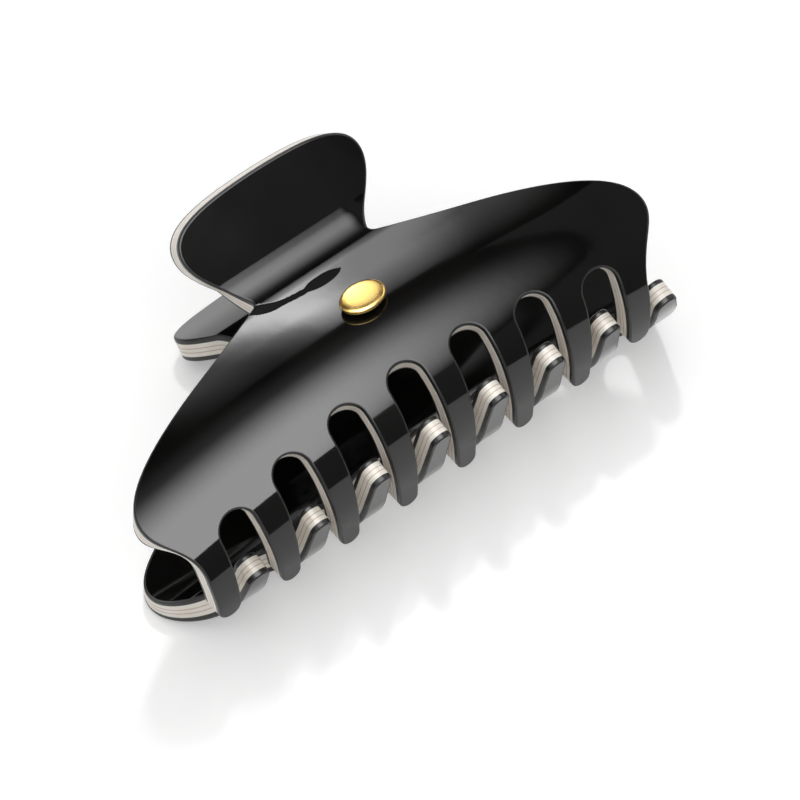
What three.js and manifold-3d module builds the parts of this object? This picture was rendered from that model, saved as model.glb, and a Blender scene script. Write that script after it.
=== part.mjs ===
// Claw hair clip: two jaws of one pattern, cut flat from laminated sheet and bent, turn on a sprung pin.
// Millimetres, +Z up, X along the hinge. The closed clip lies on the belly and the tab of its lower jaw.
// The origin is the middle of the bottom of the closed clip.

import * as THREE from 'three';
import { mergeVertices } from 'three/addons/utils/BufferGeometryUtils.js';
import Module from 'manifold-3d';

// Sheet that both jaws are cut from
const sheetThickness = 4.4;

// What differs between the jaws. Shifts are along the hinge from the middle of the neck, and each jaw's own
// x grows to the right when it is seen from outside with its teeth towards the viewer.
const jawShapes = {
  upper: {
    tabLength: 14.6,
    tabSlope: -37,
    crownRadius: 26,
    toothSlope: -86,
    bodyShift: -3,
    bulgeLevel: 27,
    waistLevels: [32.2, 33.2, 42.5],
    combShift: -3,
    tipLevel: 55.6,
    tipFall: 2.8,
  },
  lower: {
    tabLength: 12.6,
    tabSlope: -40,
    crownRadius: 24.6,
    toothSlope: -82,
    bodyShift: 0,
    bulgeLevel: 24.5,
    waistLevels: [30.5, 37, 46],
    combShift: -3.4,
    tipLevel: 59,
    tipFall: 7.6,
  },
};

// Bent profile of a jaw's outer face. Slopes are in degrees, seen when walking from the tab to the teeth.
const neckHeight = 10.4;
const neckRadius = 4.2;
const inclineLength = 9;
const shoulderRadius = 13.5;
const sideRadius = 26;
const inclineSlope = 28.5;
const crownSlope = -11;
const shoulderSlope = -62;

// Flat pattern: x along the hinge, s along the sheet from the neck line towards the tooth tips
const neckHalfWidth = 12;
const neckFillet = 1.1;
const tabHalfWidth = 18.4;
const tabWidestLevel = 12.8;
const tabCornerReach = 7.4;
const tabEndBow = 0.7;
const bodyHalfLength = 50.7;
const bulgeDepth = 8.5;
const wingLevel = 12.2;

// Comb of teeth
const toothCount = 8;
const tipPitch = 12;
const rootPitch = 12.35;
const tipWidth = 3.7;
const endToothExtra = 0.6;
const endToothFlare = 0.75;
const gapWidth = 6.9;
const gapRootLevel = 27.5;
const gapRootFall = 6.4;

// Shares of the sizes that the outline's curves follow
const flankStartShare = 0.19;
const flankLevelShares = [0.35, 0.66];
const cornerLevelShares = [0.62, 0.88];
const cornerReachShare = 0.57;
const wingReachShare = 0.53;

// Hinge
const pinSetback = 3.5;
const pinDiameter = 2;
const pinHeadDiameter = 3.6;
const pinHeadLength = 0.8;
const bearingGap = 0.1;
const fixedGap = 0.3;
const plateThickness = 0.8;
const plateStart = 1;
const plateLength = 8;
const earSpacing = 12;
const earRoundRadius = 2.3;

// Blind pins that hold each hinge plate to its jaw
const studDiameter = 1.6;
const studSpacing = 6.4;
const studHeadDiameter = 2.8;
const studHeadHeight = 0.6;
const studDepth = 2.3;

// Torsion spring
const wireDiameter = 1;
const coilRadius = 2.4;
const wireSpacing = 1.5;
const coilTurns = 5;
const legReach = 7;
const legEndLength = 2.6;
const legBendReach = 1.3;

// Plain gold ornament on the upper jaw
const ornamentLevel = 14.9;
const ornamentLength = 8.4;
const ornamentWidth = 6.4;
const ornamentThickness = 1.1;
const ornamentLift = 0.9;
const ornamentRim = 0.35;
const postDiameter = 1.4;
const postSpacing = 3.6;
const postDepth = 2.4;

// Facets
const roundSides = 16;
const tubeSides = 5;
const stepsPerCurl = 8;
const ovalSides = 28;
const bendStepAngle = 9;
const bodyCurveSteps = 9;
const tabCurveSteps = 6;
const filletSteps = 3;
const tipSteps = 6;
const rootSteps = 8;
const legBendSteps = 4;

const wasm = await Module();
wasm.setup();

const radians = THREE.MathUtils.degToRad;
const combHalf = ((toothCount - 1) / 2) * tipPitch;
const upper = { ...jawShapes.upper, profile: buildProfile(jawShapes.upper) };
const lower = { ...jawShapes.lower, profile: buildProfile(jawShapes.lower) };

// Solids: a closed geometry becomes a solid for cuts and joins, and turns back into a geometry

function toSolid(geometry) {
  const bare = geometry.index ? geometry.toNonIndexed() : geometry.clone();
  bare.deleteAttribute('normal');
  bare.deleteAttribute('uv');
  const merged = mergeVertices(bare);
  const vertProperties = new Float32Array(merged.attributes.position.array);
  const triVerts = new Uint32Array(merged.index.array);
  return new wasm.Manifold(new wasm.Mesh({ numProp: 3, vertProperties, triVerts }));
}

function toGeometry(solid) {
  const mesh = solid.getMesh();
  const geometry = new THREE.BufferGeometry();
  geometry.setAttribute('position', new THREE.BufferAttribute(new Float32Array(mesh.vertProperties), 3));
  geometry.setIndex(new THREE.BufferAttribute(new Uint32Array(mesh.triVerts), 1));
  const faceted = geometry.toNonIndexed();
  faceted.computeVertexNormals();
  return faceted;
}

// Profile: straights and arcs, walked from the tab's end to past the tooth tips

function arcLength(radius, fromSlope, toSlope) {
  return radius * radians(Math.abs(toSlope - fromSlope));
}

function buildProfile({ tabLength, tabSlope, crownRadius, toothSlope, tipLevel }) {
  const runs = [
    { length: tabLength, from: tabSlope, to: tabSlope },
    { length: arcLength(neckRadius, tabSlope, inclineSlope), from: tabSlope, to: inclineSlope },
    { length: inclineLength, from: inclineSlope, to: inclineSlope },
    { length: arcLength(crownRadius, inclineSlope, crownSlope), from: inclineSlope, to: crownSlope },
    { length: arcLength(shoulderRadius, crownSlope, shoulderSlope), from: crownSlope, to: shoulderSlope },
    { length: arcLength(sideRadius, shoulderSlope, toothSlope), from: shoulderSlope, to: toothSlope },
    { length: tipLevel, from: toothSlope, to: toothSlope },
  ];
  const beforeNeckLine = runs[0].length + runs[1].length;
  let level = -beforeNeckLine;
  let point = new THREE.Vector2(0, 0);
  for (const run of runs) {
    run.start = level;
    run.point = point;
    point = alongRun(run, run.length);
    level += run.length;
  }
  const neckRun = runs[2];
  const shift = new THREE.Vector2(0, neckHeight).sub(neckRun.point);
  for (const run of runs) {
    run.point = run.point.clone().add(shift);
  }
  return runs;
}

// The profile lies in the plane across the hinge: x of a Vector2 is the depth, y the height

function alongRun(run, distance) {
  const from = radians(run.from);
  const turn = radians(run.to) - from;
  if (turn === 0) {
    const step = new THREE.Vector2(-Math.cos(from), Math.sin(from)).multiplyScalar(distance);
    return run.point.clone().add(step);
  }
  const signedRadius = run.length / turn;
  const slope = from + distance / signedRadius;
  const depth = run.point.x - signedRadius * (Math.sin(slope) - Math.sin(from));
  const height = run.point.y - signedRadius * (Math.cos(slope) - Math.cos(from));
  return new THREE.Vector2(depth, height);
}

function runAt(profile, level) {
  return profile.findLast((run) => run.start <= level) ?? profile[0];
}

function slopeAt(profile, level) {
  const run = runAt(profile, level);
  const share = THREE.MathUtils.clamp((level - run.start) / run.length, 0, 1);
  return radians(THREE.MathUtils.lerp(run.from, run.to, share));
}

// Point of the bent sheet: depthInSheet is 0 on the outer face and grows inwards

function bend(profile, x, level, depthInSheet) {
  const run = runAt(profile, level);
  const outer = alongRun(run, level - run.start);
  const slope = slopeAt(profile, level);
  return new THREE.Vector3(
    x,
    outer.x - depthInSheet * Math.sin(slope),
    outer.y - depthInSheet * Math.cos(slope),
  );
}

// Frame on the bent sheet: X along the hinge, Y down the sheet towards the teeth, Z out of the outer face

function sheetFrame(profile, x, level, depthInSheet) {
  const slope = slopeAt(profile, level);
  const down = new THREE.Vector3(0, -Math.cos(slope), Math.sin(slope));
  const out = new THREE.Vector3(0, Math.sin(slope), Math.cos(slope));
  const along = new THREE.Vector3().crossVectors(down, out);
  const matrix = new THREE.Matrix4().makeBasis(along, down, out);
  return matrix.setPosition(bend(profile, x, level, depthInSheet));
}

function bendStations(profile) {
  const stations = [];
  for (const run of profile) {
    const steps = Math.max(1, Math.ceil(Math.abs(run.to - run.from) / bendStepAngle));
    for (let step = 0; step < steps; step += 1) {
      stations.push(run.start + (run.length * step) / steps);
    }
  }
  return stations;
}

// Flat outline of a jaw

function curvePoints(corners, steps) {
  const curve = new THREE.CubicBezierCurve(...corners.map(([x, s]) => new THREE.Vector2(x, s)));
  return curve.getPoints(steps);
}

function arcPoints(x, s, radius, towardsTip, steps) {
  const points = [];
  for (let step = 0; step <= steps; step += 1) {
    const angle = (Math.PI * step) / steps;
    const rise = radius * Math.sin(angle) * (towardsTip ? 1 : -1);
    points.push(new THREE.Vector2(x + radius * Math.cos(angle), s + rise));
  }
  return points;
}

function fallShare(fromMiddle) {
  return (fromMiddle / combHalf) ** 2;
}

function toothTip({ combShift, tipLevel, tipFall }, index) {
  const fromMiddle = index * tipPitch - combHalf;
  const atStart = index === 0;
  const atEnd = index === toothCount - 1;
  const extra = atStart || atEnd ? endToothExtra : 0;
  const side = atStart ? -1 : 1;
  const radius = (tipWidth + extra) / 2;
  const level = tipLevel - tipFall * fallShare(fromMiddle) - radius;
  return { x: combShift + fromMiddle + (side * extra) / 2, level, radius };
}

function gapRoot({ combShift }, index) {
  const fromMiddle = (index - (toothCount - 2) / 2) * rootPitch;
  const radius = gapWidth / 2;
  const level = gapRootLevel + gapRootFall * fallShare(fromMiddle) + radius;
  return { x: combShift + fromMiddle, level, radius };
}

// One side of the body, from the filleted neck corner over the wing and the bulge to the end tooth

function bodySide(jaw, side) {
  const bulge = side * bodyHalfLength + jaw.bodyShift;
  const neck = side * neckHalfWidth;
  const wing = neck + (bulge - neck) * wingReachShare;
  const corner = new THREE.Vector2(neck, 0);
  const wingStart = new THREE.Vector2(wing, wingLevel).sub(corner).setLength(neckFillet).add(corner);
  const tabStart = new THREE.Vector2(neck, -neckFillet);
  const fillet = new THREE.QuadraticBezierCurve(tabStart, corner, wingStart).getPoints(filletSteps);
  const tooth = toothTip(jaw, side > 0 ? toothCount - 1 : 0);
  const combEnd = tooth.x + side * (tooth.radius + endToothFlare);
  const { bulgeLevel, waistLevels } = jaw;
  const wingPoints = curvePoints(
    [wingStart.toArray(), [wing, wingLevel], [bulge, bulgeLevel - bulgeDepth], [bulge, bulgeLevel]],
    bodyCurveSteps,
  );
  const waistPoints = curvePoints(
    [[bulge, bulgeLevel], [bulge, waistLevels[0]], [combEnd, waistLevels[1]], [combEnd, waistLevels[2]]],
    bodyCurveSteps,
  );
  const toothStart = new THREE.Vector2(tooth.x + side * tooth.radius, tooth.level);
  return [...fillet.slice(0, -1), ...wingPoints, ...waistPoints.slice(1), toothStart];
}

// One side of the thumb tab, from the neck corner to the middle of its end

function tabSide(jaw, side) {
  const end = jaw.profile[0].start;
  const cornerEnd = tabHalfWidth - tabCornerReach;
  const flank = neckHalfWidth + (tabHalfWidth - neckHalfWidth) * flankStartShare;
  const cornerDepth = -end - tabEndBow - tabWidestLevel;
  const cornerBend = tabHalfWidth - tabCornerReach * (1 - cornerReachShare);
  const flankPoints = curvePoints(
    [
      [side * neckHalfWidth, -neckFillet],
      [side * flank, -tabWidestLevel * flankLevelShares[0]],
      [side * tabHalfWidth, -tabWidestLevel * flankLevelShares[1]],
      [side * tabHalfWidth, -tabWidestLevel],
    ],
    tabCurveSteps,
  );
  const cornerPoints = curvePoints(
    [
      [side * tabHalfWidth, -tabWidestLevel],
      [side * tabHalfWidth, -tabWidestLevel - cornerDepth * cornerLevelShares[0]],
      [side * cornerBend, -tabWidestLevel - cornerDepth * cornerLevelShares[1]],
      [side * cornerEnd, -tabWidestLevel - cornerDepth],
    ],
    tabCurveSteps,
  );
  const middle = new THREE.Vector2(0, end);
  return [...flankPoints.slice(1), ...cornerPoints.slice(1), middle];
}

function jawOutline(jaw) {
  const points = [...bodySide(jaw, 1)];
  for (let index = toothCount - 1; index >= 0; index -= 1) {
    const tip = toothTip(jaw, index);
    const tipPoints = arcPoints(tip.x, tip.level, tip.radius, true, tipSteps);
    points.push(...tipPoints.slice(index === toothCount - 1 ? 1 : 0));
    if (index > 0) {
      const root = gapRoot(jaw, index - 1);
      points.push(...arcPoints(root.x, root.level, root.radius, false, rootSteps));
    }
  }
  points.push(...bodySide(jaw, -1).reverse().slice(1));
  points.push(...tabSide(jaw, -1));
  points.push(...tabSide(jaw, 1).reverse().slice(1));
  return points;
}

// The flat outline is cut into triangles, those are split where the sheet bends, and all is bent

function clipAtStation(polygon, station, keepBelow) {
  const kept = [];
  polygon.forEach((current, index) => {
    const next = polygon[(index + 1) % polygon.length];
    const inside = keepBelow ? current.y <= station : current.y >= station;
    if (inside) {
      kept.push(current);
    }
    if ((current.y - station) * (next.y - station) < 0) {
      const [low, high] = current.y < next.y ? [current, next] : [next, current];
      const share = (station - low.y) / (high.y - low.y);
      kept.push(new THREE.Vector2(low.x + (high.x - low.x) * share, station));
    }
  });
  return kept;
}

function splitTriangle(triangle, stations) {
  let rest = triangle;
  const pieces = [];
  for (const station of stations) {
    const lowest = Math.min(...rest.map((point) => point.y));
    const highest = Math.max(...rest.map((point) => point.y));
    if (station > lowest && station < highest) {
      pieces.push(clipAtStation(rest, station, true));
      rest = clipAtStation(rest, station, false);
    }
  }
  pieces.push(rest);
  return pieces.flatMap((piece) => {
    const fan = [];
    for (let corner = 1; corner < piece.length - 1; corner += 1) {
      fan.push([piece[0], piece[corner], piece[corner + 1]]);
    }
    return fan;
  });
}

function pointKey(point) {
  return `${point.x.toFixed(4)} ${point.y.toFixed(4)}`;
}

function boundaryEdges(triangles) {
  const edges = new Map();
  for (const triangle of triangles) {
    triangle.forEach((start, index) => {
      const end = triangle[(index + 1) % triangle.length];
      edges.set(`${pointKey(start)} ${pointKey(end)}`, [start, end]);
    });
  }
  return [...edges.values()].filter(([start, end]) => !edges.has(`${pointKey(end)} ${pointKey(start)}`));
}

function jawBlank(jaw) {
  const outline = jawOutline(jaw);
  const corners = THREE.ShapeUtils.isClockWise(outline) ? outline.reverse() : outline;
  const stations = bendStations(jaw.profile);
  const flat = THREE.ShapeUtils.triangulateShape(corners, [])
    .flatMap((triple) => splitTriangle(triple.map((index) => corners[index]), stations));
  const positions = [];
  const add = (point, depthInSheet) => {
    positions.push(...bend(jaw.profile, point.x, point.y, depthInSheet).toArray());
  };
  for (const [first, second, third] of flat) {
    [first, third, second].forEach((point) => add(point, 0));
    [first, second, third].forEach((point) => add(point, sheetThickness));
  }
  for (const [start, end] of boundaryEdges(flat)) {
    [start, end].forEach((point) => add(point, 0));
    [end, end, start].forEach((point) => add(point, sheetThickness));
    add(start, 0);
  }
  const geometry = new THREE.BufferGeometry();
  geometry.setAttribute('position', new THREE.Float32BufferAttribute(positions, 3));
  return toSolid(geometry);
}

// Round bar along Z of a frame, from one height to another

function roundBar(diameter, from, to, frame) {
  const bar = new THREE.CylinderGeometry(diameter / 2, diameter / 2, to - from, roundSides);
  bar.rotateX(Math.PI / 2);
  bar.translate(0, 0, (from + to) / 2);
  bar.applyMatrix4(frame);
  return toSolid(bar);
}

// Solid turned about Z of a frame, from corners of its half section as radius and height, bottom first

function turnedSolid(corners, frame) {
  const halfSection = corners.map(([radius, height]) => new THREE.Vector2(radius, height));
  const turned = new THREE.LatheGeometry(halfSection, roundSides);
  turned.rotateX(Math.PI / 2);
  turned.applyMatrix4(frame);
  return toSolid(turned);
}

// Hinge plates lie on the inner face of the incline, and two blind pins hold each

const plateTop = sheetThickness + fixedGap;
const plateMiddle = plateStart + plateLength / 2;

function studFrames() {
  return [-1, 1].map((side) => sheetFrame(upper.profile, (side * studSpacing) / 2, plateMiddle, plateTop));
}

function studSolid(frame) {
  const headTop = -plateThickness - fixedGap;
  const [shank, head] = [studDiameter / 2, studHeadDiameter / 2];
  const end = fixedGap + studDepth;
  const start = headTop - studHeadHeight;
  const corners = [[0, start], [head, start], [head, headTop], [shank, headTop], [shank, end], [0, end]];
  return turnedSolid(corners, frame);
}

function studHole(frame) {
  const wide = studDiameter + fixedGap * 2;
  return roundBar(wide, -plateThickness - fixedGap, fixedGap * 2 + studDepth, frame);
}

function cutStudHoles(solid) {
  return studFrames().reduce((left, frame) => left.subtract(studHole(frame)), solid);
}

// Ear: a plate across the hinge with a round end about the pin

function earSolid(outerFace) {
  const start = bend(upper.profile, 0, plateStart, plateTop);
  const end = bend(upper.profile, 0, plateStart + plateLength, plateTop);
  const shape = new THREE.Shape();
  const steps = roundSides;
  const turnFrom = Math.PI - radians(inclineSlope) / 2;
  shape.moveTo(start.y, start.z);
  shape.lineTo(end.y, end.z);
  for (let step = 0; step <= steps; step += 1) {
    const angle = turnFrom + (Math.PI * step) / steps;
    shape.lineTo(-pinSetback + earRoundRadius * Math.cos(angle), earRoundRadius * Math.sin(angle));
  }
  const ear = new THREE.ExtrudeGeometry(shape, { depth: plateThickness, bevelEnabled: false });
  const standing = new THREE.Matrix4().makeBasis(
    new THREE.Vector3(0, 1, 0),
    new THREE.Vector3(0, 0, 1),
    new THREE.Vector3(1, 0, 0),
  );
  ear.applyMatrix4(standing);
  ear.translate(outerFace > 0 ? outerFace - plateThickness : outerFace, 0, 0);
  return toSolid(ear);
}

function pinFrame() {
  const frame = new THREE.Matrix4().makeRotationY(Math.PI / 2);
  return frame.setPosition(0, -pinSetback, 0);
}

function hingePlate(spacing) {
  const plate = new THREE.BoxGeometry(spacing, plateLength, plateThickness);
  plate.translate(0, 0, -plateThickness / 2);
  plate.applyMatrix4(sheetFrame(upper.profile, 0, plateMiddle, plateTop));
  const ears = [-1, 1].map((side) => earSolid((side * spacing) / 2));
  const bore = roundBar(pinDiameter + bearingGap * 2, -spacing, spacing, pinFrame());
  return cutStudHoles(toSolid(plate).add(ears[0]).add(ears[1]).subtract(bore));
}

const innerSpacing = earSpacing;
const outerSpacing = earSpacing + (plateThickness + fixedGap) * 2;

function hingePin() {
  const reach = outerSpacing / 2 + fixedGap;
  const end = reach + pinHeadLength;
  const [shank, head] = [pinDiameter / 2, pinHeadDiameter / 2];
  const corners = [[0, end], [head, end], [head, reach], [shank, reach]];
  const below = corners.map(([radius, height]) => [radius, -height]);
  return turnedSolid([...below, ...corners.reverse()], pinFrame());
}

// Torsion spring: one wire, coiled about the pin, with a leg to each thumb tab that ends square to it

function springLeg({ profile }) {
  const level = profile[1].start - legReach;
  const foot = bend(profile, 0, level, sheetThickness);
  const slope = slopeAt(profile, level);
  const inwards = new THREE.Vector2(-Math.sin(slope), -Math.cos(slope));
  const face = new THREE.Vector2(foot.y, foot.z);
  const end = face.clone().addScaledVector(inwards, fixedGap);
  const corner = end.clone().addScaledVector(inwards, legEndLength);
  const centre = new THREE.Vector2(-pinSetback, 0);
  const reach = corner.clone().sub(centre);
  const leaveAngle = reach.angle() - Math.acos(coilRadius / reach.length());
  const coilEnd = new THREE.Vector2(Math.cos(leaveAngle), Math.sin(leaveAngle))
    .multiplyScalar(coilRadius)
    .add(centre);
  const legDirection = corner.clone().sub(coilEnd).normalize();
  const bendStart = corner.clone().addScaledVector(legDirection, -legBendReach);
  const bendEnd = corner.clone().addScaledVector(inwards, -legBendReach);
  const bendPoints = new THREE.QuadraticBezierCurve(bendStart, corner, bendEnd).getPoints(legBendSteps);
  return { leaveAngle, points: [...bendPoints, end] };
}

function springPath() {
  const upperLeg = springLeg(upper);
  const lowerLeg = springLeg(lower);
  const span = coilTurns * Math.PI * 2 + upperLeg.leaveAngle + lowerLeg.leaveAngle;
  const curls = span / (Math.PI * 2);
  const halfLength = (wireSpacing * curls) / 2;
  const steps = Math.round(curls * stepsPerCurl);
  const path = lowerLeg.points.map((point) => new THREE.Vector3(-halfLength, point.x, -point.y)).reverse();
  for (let step = 0; step <= steps; step += 1) {
    const share = step / steps;
    const angle = span * share - lowerLeg.leaveAngle;
    const x = halfLength * (share * 2 - 1);
    const depth = -pinSetback + coilRadius * Math.cos(angle);
    path.push(new THREE.Vector3(x, depth, coilRadius * Math.sin(angle)));
  }
  path.push(...upperLeg.points.map((point) => new THREE.Vector3(halfLength, point.x, point.y)));
  return path;
}

// Rings of points around a path, turned as little as possible from one to the next, joined into one tube

function tubeAlong(path, diameter) {
  const rings = [];
  let side = new THREE.Vector3(1, 0, 0);
  path.forEach((point, index) => {
    const before = path[Math.max(index - 1, 0)];
    const after = path[Math.min(index + 1, path.length - 1)];
    const direction = after.clone().sub(before).normalize();
    side = side.clone().addScaledVector(direction, -side.dot(direction)).normalize();
    const other = new THREE.Vector3().crossVectors(direction, side);
    const ring = [];
    for (let corner = 0; corner < tubeSides; corner += 1) {
      const angle = (Math.PI * 2 * corner) / tubeSides;
      ring.push(point.clone()
        .addScaledVector(side, (Math.cos(angle) * diameter) / 2)
        .addScaledVector(other, (Math.sin(angle) * diameter) / 2));
    }
    rings.push(ring);
  });
  const positions = [];
  const add = (...points) => points.forEach((point) => positions.push(...point.toArray()));
  for (let index = 0; index < rings.length - 1; index += 1) {
    for (let corner = 0; corner < tubeSides; corner += 1) {
      const next = (corner + 1) % tubeSides;
      const [a, b] = [rings[index][corner], rings[index][next]];
      const [c, d] = [rings[index + 1][next], rings[index + 1][corner]];
      add(a, b, c, a, c, d);
    }
  }
  const last = rings.length - 1;
  for (let corner = 1; corner < tubeSides - 1; corner += 1) {
    add(rings[0][0], rings[0][corner + 1], rings[0][corner]);
    add(rings[last][0], rings[last][corner], rings[last][corner + 1]);
  }
  const geometry = new THREE.BufferGeometry();
  geometry.setAttribute('position', new THREE.Float32BufferAttribute(positions, 3));
  geometry.computeVertexNormals();
  return { geometry, rings };
}

// Least gap between points of the wire more than half a curl apart

function leastGap(rings) {
  let least = Infinity;
  rings.forEach((ring, index) => {
    rings.slice(index + stepsPerCurl / 2 + 1).forEach((other) => {
      ring.forEach((point) => other.forEach((far) => {
        least = Math.min(least, point.distanceTo(far));
      }));
    });
  });
  return least;
}

// Ornament: a plain oval with a chamfered rim, on two posts sunk into the sheet

function ornamentFrame() {
  return sheetFrame(upper.profile, 0, ornamentLevel, 0);
}

function postFrames() {
  return [-1, 1].map((side) => sheetFrame(upper.profile, (side * postSpacing) / 2, ornamentLevel, 0));
}

function ornamentSolid() {
  const oval = new THREE.Shape();
  const halfLength = ornamentLength / 2 - ornamentRim;
  const halfWidth = ornamentWidth / 2 - ornamentRim;
  oval.absellipse(0, 0, halfLength, halfWidth, 0, Math.PI * 2);
  const plate = new THREE.ExtrudeGeometry(oval, {
    depth: ornamentThickness - ornamentRim * 2,
    bevelThickness: ornamentRim,
    bevelSize: ornamentRim,
    bevelSegments: 1,
    curveSegments: ovalSides / 2,
  });
  plate.translate(0, 0, ornamentLift + ornamentRim);
  plate.applyMatrix4(ornamentFrame());
  const top = ornamentLift + ornamentThickness / 2;
  return postFrames().reduce(
    (solid, frame) => solid.add(roundBar(postDiameter, -postDepth, top, frame)),
    toSolid(plate),
  );
}

function cutPostHoles(solid) {
  const bottom = -postDepth - fixedGap;
  return postFrames().reduce(
    (left, frame) => left.subtract(
      roundBar(postDiameter + fixedGap * 2, bottom, ornamentLift, frame),
    ),
    solid,
  );
}

// Materials

function material(color, roughness, metalness) {
  return new THREE.MeshStandardMaterial({ color, roughness, metalness });
}

const blackGloss = () => material(0x141313, 0.08, 0);
const platedSteel = () => material(0xb9bcc0, 0.25, 1);
const springSteel = () => material(0x8d9094, 0.3, 1);
const polishedGold = () => material(0xc9a24a, 0.2, 1);

function piece(name, geometry, look) {
  const mesh = new THREE.Mesh(geometry, look);
  mesh.name = name;
  return mesh;
}

// Assembly: the lower half is made as the upper one is, then turned over about the line from teeth to tabs

const spring = tubeAlong(springPath(), wireDiameter);
console.log(`spring: least gap to itself ${leastGap(spring.rings).toFixed(2)} mm`);

function hingeHalf(which, jaw, earsApart) {
  const half = new THREE.Group();
  half.add(piece(`${which}_jaw`, toGeometry(jaw), blackGloss()));
  half.add(piece(`${which}_hinge_plate`, toGeometry(hingePlate(earsApart)), platedSteel()));
  studFrames().forEach((frame, index) => {
    half.add(piece(`${which}_plate_rivet_${index + 1}`, toGeometry(studSolid(frame)), platedSteel()));
  });
  return half;
}

const upperHalf = hingeHalf('upper', cutPostHoles(cutStudHoles(jawBlank(upper))), innerSpacing);
upperHalf.add(piece('ornament', toGeometry(ornamentSolid()), polishedGold()));

const lowerHalf = hingeHalf('lower', cutStudHoles(jawBlank(lower)), outerSpacing);
lowerHalf.rotation.y = Math.PI;

const clip = new THREE.Group();
clip.add(upperHalf, lowerHalf);
clip.add(piece('hinge_pin', toGeometry(hingePin()), platedSteel()));
clip.add(piece('torsion_spring', spring.geometry, springSteel()));

// The lower jaw lies on its tab's end and on its belly, so the clip is turned until both are level

function restingTilt() {
  const { profile } = lower;
  const tabEnd = bend(profile, 0, profile[0].start, 0);
  const slopes = bendStations(profile).slice(1).map((level) => {
    const point = bend(profile, 0, level, 0);
    return (point.z - tabEnd.z) / (point.y - tabEnd.y);
  });
  return Math.atan(Math.min(...slopes));
}

clip.rotation.x = restingTilt();
clip.updateMatrixWorld(true);
const box = new THREE.Box3().setFromObject(clip, true);
const middle = box.getCenter(new THREE.Vector3());
clip.position.set(-middle.x, -middle.y, -box.min.z);

const assembly = new THREE.Group();
assembly.add(clip);

export default assembly;
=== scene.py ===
"""Claw hair clip: bent laminated jaws with rounded edges, a sprung hinge and an oval ornament.

Around it are a floor, lamps, cards that only reflections see, and the camera.
"""

import math

import bpy
from mathutils import Matrix, Vector
from mathutils.geometry import delaunay_2d_cdt
from mathutils.kdtree import KDTree


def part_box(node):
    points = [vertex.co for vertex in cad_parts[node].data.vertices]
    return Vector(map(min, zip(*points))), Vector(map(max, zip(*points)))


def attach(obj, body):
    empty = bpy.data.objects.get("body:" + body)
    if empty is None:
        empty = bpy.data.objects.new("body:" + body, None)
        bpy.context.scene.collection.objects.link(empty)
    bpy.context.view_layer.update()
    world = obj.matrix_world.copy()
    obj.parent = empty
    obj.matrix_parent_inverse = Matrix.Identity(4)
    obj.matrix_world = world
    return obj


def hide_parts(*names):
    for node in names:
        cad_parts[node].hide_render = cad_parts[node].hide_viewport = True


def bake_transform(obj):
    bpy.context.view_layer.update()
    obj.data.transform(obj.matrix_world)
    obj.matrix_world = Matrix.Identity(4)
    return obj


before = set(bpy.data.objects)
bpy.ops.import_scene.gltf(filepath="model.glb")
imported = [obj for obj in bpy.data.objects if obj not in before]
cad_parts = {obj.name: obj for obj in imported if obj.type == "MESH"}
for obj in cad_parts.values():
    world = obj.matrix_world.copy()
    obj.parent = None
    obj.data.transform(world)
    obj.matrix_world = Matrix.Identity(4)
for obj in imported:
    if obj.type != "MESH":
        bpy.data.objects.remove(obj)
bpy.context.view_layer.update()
bpy.context.scene.view_settings.view_transform = "Standard"

# Sizes of the clip in millimetres, slopes in degrees, as in the solids except the easing of the tab's end
MM = 0.001
SHEET = 4.4
JAWS = {
    "upper": {
        "tab_length": 14.6,
        "tab_slope": -37,
        "crown_radius": 26,
        "tooth_slope": -86,
        "body_shift": -3,
        "bulge_level": 27,
        "waist_levels": (32.2, 33.2, 42.5),
        "comb_shift": -3,
        "tip_level": 55.6,
        "tip_fall": 2.8,
    },
    "lower": {
        "tab_length": 12.6,
        "tab_slope": -40,
        "crown_radius": 24.6,
        "tooth_slope": -82,
        "body_shift": 0,
        "bulge_level": 24.5,
        "waist_levels": (30.5, 37, 46),
        "comb_shift": -3.4,
        "tip_level": 59,
        "tip_fall": 7.6,
    },
}
NECK_HEIGHT = 10.4
NECK_RADIUS = 4.2
INCLINE_LENGTH = 9
SHOULDER_RADIUS = 13.5
SIDE_RADIUS = 26
INCLINE_SLOPE = 28.5
CROWN_SLOPE = -11
SHOULDER_SLOPE = -62
CAD_BEND_STEP = 9
CAD_STEP_DIGITS = 6
NECK_HALF_WIDTH = 12
NECK_FILLET = 1.1
TAB_HALF_WIDTH = 18.4
TAB_WIDEST_LEVEL = 12.8
TAB_CORNER_REACH = 7.4
TAB_END_BOW = 0.7
BODY_HALF_LENGTH = 50.7
BULGE_DEPTH = 8.5
WING_LEVEL = 12.2
TOOTH_COUNT = 8
TIP_PITCH = 12
ROOT_PITCH = 12.35
TIP_WIDTH = 3.7
END_TOOTH_EXTRA = 0.6
END_TOOTH_FLARE = 0.75
GAP_WIDTH = 6.9
GAP_ROOT_LEVEL = 27.5
GAP_ROOT_FALL = 6.4
FLANK_START_SHARE = 0.19
FLANK_LEVEL_SHARES = (0.35, 0.66)
CORNER_LEVEL_SHARES = (0.62, 0.88)
CORNER_REACH_SHARE = 0.57
END_EASE_SHARE = 0.5
WING_REACH_SHARE = 0.53
PIN_SETBACK = 3.5
PIN_DIAMETER = 2
PIN_HEAD_DIAMETER = 3.6
PIN_HEAD_LENGTH = 0.8
FIXED_GAP = 0.3
PLATE_THICKNESS = 0.8
PLATE_START = 1
PLATE_LENGTH = 8
EAR_SPACING = 12
STUD_DIAMETER = 1.6
STUD_SPACING = 6.4
STUD_HEAD_DIAMETER = 2.8
STUD_HEAD_HEIGHT = 0.6
STUD_DEPTH = 2.3
WIRE_DIAMETER = 1
COIL_RADIUS = 2.4
WIRE_SPACING = 1.5
COIL_TURNS = 5
LEG_REACH = 7
LEG_END_LENGTH = 2.6
LEG_BEND_REACH = 1.3
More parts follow.
